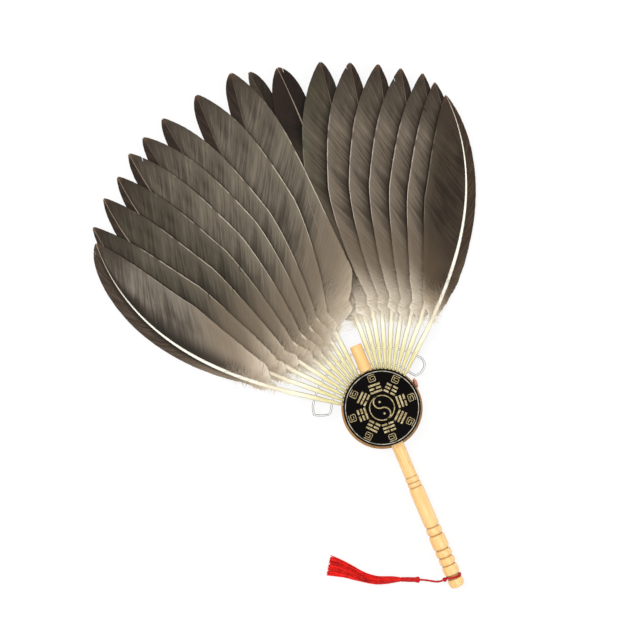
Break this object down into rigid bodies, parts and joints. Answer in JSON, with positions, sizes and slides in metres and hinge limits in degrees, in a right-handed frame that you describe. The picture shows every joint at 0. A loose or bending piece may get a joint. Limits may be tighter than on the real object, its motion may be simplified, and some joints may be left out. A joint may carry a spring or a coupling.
{
  "type": "feather fan",
  "caption": "Hand fan of goose feathers in two wings, clamped between round discs on a turned wooden stick, with a clear spreading line through the quills and a red tassel.",
  "frame": {"origin": "on the resting face of the back disc, under the axis of the front disc", "axes": "+Y runs up the stick from the discs to the feathers, +Z comes out of the decorated face, and +X is to the right seen from the face, so +Z is the thin way through the fan."},
  "size_m": [0.3042, 0.4315, 0.0139],
  "materials": {
    "stick_wood": "satin varnish, pale",
    "disc_wood": "satin varnish, tan",
    "lacquer": "black lacquer, glossy",
    "screw_brass": "plain",
    "feather": "goose feather, grey-brown",
    "clear_line": "clear nylon line",
    "sealed_knot": "knot sealed with brown glue",
    "tassel_thread": "red silky thread"
  },
  "bodies": {
    "fan": {"handle": "stick_wood", "back_disc": "disc_wood", "front_disc": "lacquer", "hub_screw_1": "screw_brass", "hub_screw_2": "screw_brass", "feather_left_1": "feather", "feather_left_2": "feather", "feather_left_3": "feather", "feather_left_4": "feather", "feather_left_5": "feather", "feather_left_6": "feather", "feather_left_7": "feather", "feather_left_8": "feather", "feather_left_9": "feather", "feather_right_1": "feather", "feather_right_2": "feather", "feather_right_3": "feather", "feather_right_4": "feather", "feather_right_5": "feather", "feather_right_6": "feather", "feather_right_7": "feather", "feather_right_8": "feather", "feather_right_9": "feather", "spread_line": "clear_line", "line_knot": "sealed_knot"},
    "ring": {"tassel_ring": "tassel_thread"},
    "tassel": {"tassel_cord": "tassel_thread", "tassel_head": "tassel_thread", "tassel_skirt": "tassel_thread"}
  },
  "joints": [
    {"name": "tassel_ring_turn", "type": "hinge", "parent": "fan", "child": "ring", "pos_m": [0, -0.1412, 0.00679], "axis": [0, 1, 0], "continuous": true},
    {"name": "tassel_swing", "type": "hinge", "parent": "ring", "child": "tassel", "pos_m": [-0.00745, -0.1412, 0.00679], "axis": [0, 0, 1], "range_deg": [-40, 90]}
  ]
}
